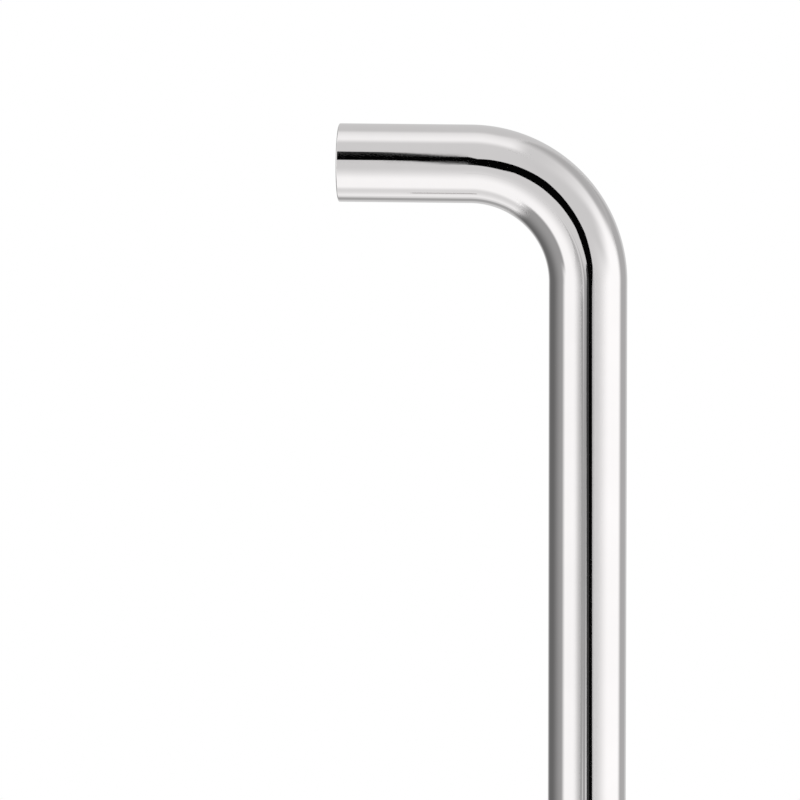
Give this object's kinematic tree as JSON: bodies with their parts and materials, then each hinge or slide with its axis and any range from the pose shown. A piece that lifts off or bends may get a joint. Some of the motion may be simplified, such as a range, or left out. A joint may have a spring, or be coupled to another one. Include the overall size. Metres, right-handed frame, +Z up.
{
  "type": "d pull handle",
  "caption": "Round bar D pull handle for a door: a bent polished stainless tube with a blind M8 thread in each end for bolts through the door.",
  "frame": {"origin": "on the door face, midway between the two fixings", "axes": "+Z up along the grip, +X out of the door, +Y across the grip"},
  "size_m": [0.07, 0.019, 0.244],
  "materials": {
    "polished_stainless": "polished",
    "turned_steel": "satin"
  },
  "bodies": {
    "root": {"handle_tube": "polished_stainless", "upper_insert": "turned_steel", "lower_insert": "turned_steel"}
  },
  "joints": []
}
